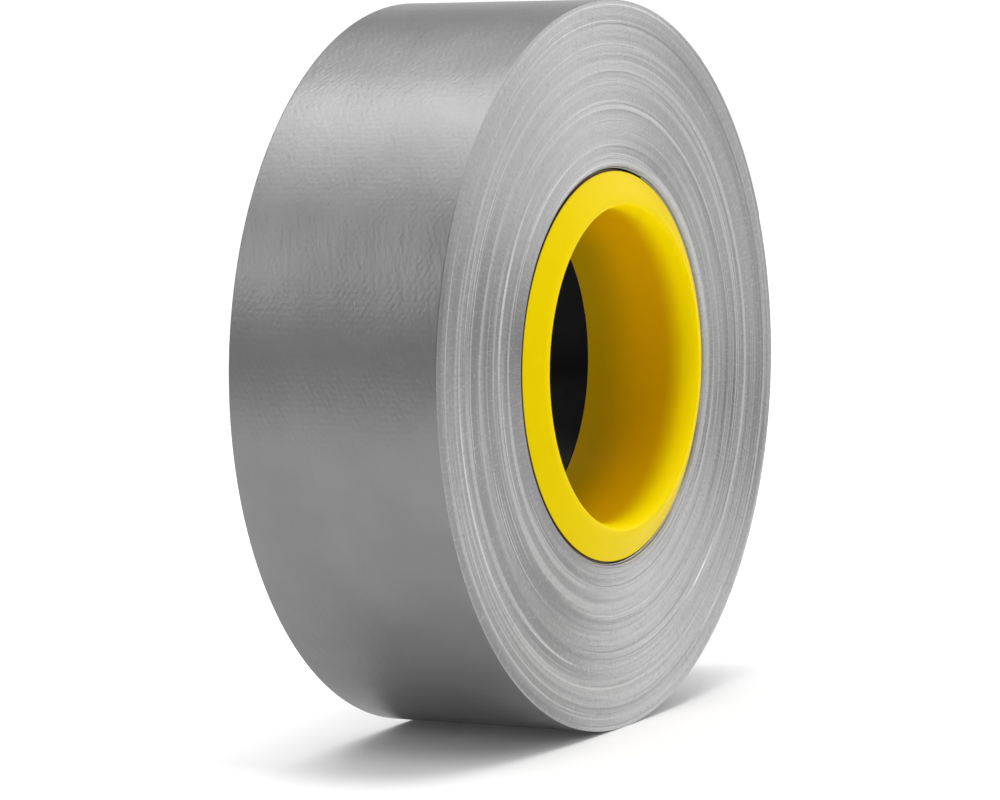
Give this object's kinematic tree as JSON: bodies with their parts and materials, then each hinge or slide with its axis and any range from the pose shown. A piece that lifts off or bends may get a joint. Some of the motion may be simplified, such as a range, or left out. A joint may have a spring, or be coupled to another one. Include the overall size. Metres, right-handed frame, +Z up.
{
  "type": "cloth tape roll",
  "caption": "Roll of wide silver cloth-backed tape on a paperboard tube, lined by a two-part moulded core with rounded rims; the free end of the tape peels back.",
  "frame": {"origin": "centre of the roll, on its axis and half-way across the tape's width", "axes": "+Y along the roll's axis, from the yellow rim towards the black rim; +Z up, with the roll standing on its tread"},
  "size_m": [0.1606, 0.0556, 0.1608],
  "materials": {
    "silver_tape": "satin",
    "paperboard": "matte",
    "yellow_plastic": "satin",
    "black_plastic": "satin"
  },
  "bodies": {
    "roll": {"core_tube": "paperboard", "yellow_core_half": "yellow_plastic", "black_core_half": "black_plastic", "wound_tape": "silver_tape"},
    "end_1": {"tape_end_1": "silver_tape"},
    "end_2": {"tape_end_2": "silver_tape"},
    "end_3": {"tape_end_3": "silver_tape"},
    "end_4": {"tape_end_4": "silver_tape"},
    "end_5": {"tape_end_5": "silver_tape"},
    "end_6": {"tape_end_6": "silver_tape"}
  },
  "joints": [
    {"name": "tape_peel_1", "type": "hinge", "parent": "roll", "child": "end_1", "pos_m": [0.03349, 0, 0.07355], "axis": [0, -1, 0], "range_deg": [0, 12.5]},
    {"name": "tape_peel_2", "type": "hinge", "parent": "end_1", "child": "end_2", "pos_m": [0.04281, 0, 0.06856], "axis": [0, -1, 0], "range_deg": [0, 25]},
    {"name": "tape_peel_3", "type": "hinge", "parent": "end_2", "child": "end_3", "pos_m": [0.0514, 0, 0.06239], "axis": [0, -1, 0], "range_deg": [0, 25]},
    {"name": "tape_peel_4", "type": "hinge", "parent": "end_3", "child": "end_4", "pos_m": [0.0591, 0, 0.05515], "axis": [0, -1, 0], "range_deg": [0, 25]},
    {"name": "tape_peel_5", "type": "hinge", "parent": "end_4", "child": "end_5", "pos_m": [0.0658, 0, 0.04697], "axis": [0, -1, 0], "range_deg": [0, 25]},
    {"name": "tape_peel_6", "type": "hinge", "parent": "end_5", "child": "end_6", "pos_m": [0.07137, 0, 0.03798], "axis": [0, -1, 0], "range_deg": [0, 25]}
  ],
  "couplings": [
    {"joint": "tape_peel_2", "follows": "tape_peel_1", "ratio": 2},
    {"joint": "tape_peel_3", "follows": "tape_peel_1", "ratio": 2},
    {"joint": "tape_peel_4", "follows": "tape_peel_1", "ratio": 2},
    {"joint": "tape_peel_5", "follows": "tape_peel_1", "ratio": 2},
    {"joint": "tape_peel_6", "follows": "tape_peel_1", "ratio": 2}
  ]
}
